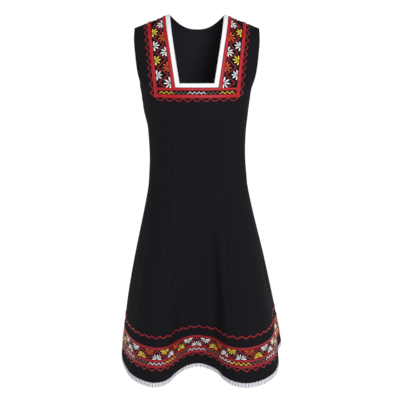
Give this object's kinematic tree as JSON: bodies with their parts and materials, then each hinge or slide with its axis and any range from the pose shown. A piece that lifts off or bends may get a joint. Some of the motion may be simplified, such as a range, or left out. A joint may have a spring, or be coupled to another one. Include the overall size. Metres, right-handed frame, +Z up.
{
  "type": "folk pinafore dress",
  "caption": "Sleeveless folk pinafore dress as worn, with a square neckline, a flared skirt, red tapes round the neckline and hem, and white lace edging.",
  "frame": {"origin": "midway between the shoulders, level with the two neck points where the straps rest on the wearer", "axes": "+Z up, the front of the dress faces -Y, the wearer's left is at +X"},
  "size_m": [0.5264, 0.4857, 1.0734],
  "materials": {
    "cloth": "black matt woven cloth",
    "lace": "white crocheted cotton edging",
    "tape": "red satin-stitched tape"
  },
  "bodies": {
    "root": {"front_centre": "cloth", "front_side_right": "cloth", "front_side_left": "cloth", "back_centre": "cloth", "back_side_left": "cloth", "back_side_right": "cloth", "neck_lace": "lace", "neck_tape": "tape", "neck_frame": "tape", "neck_bar_right": "tape", "neck_bar_left": "tape", "hem_tape_upper": "tape", "hem_tape_middle": "tape", "hem_tape_lower": "tape", "hem_lace": "lace"}
  },
  "joints": []
}
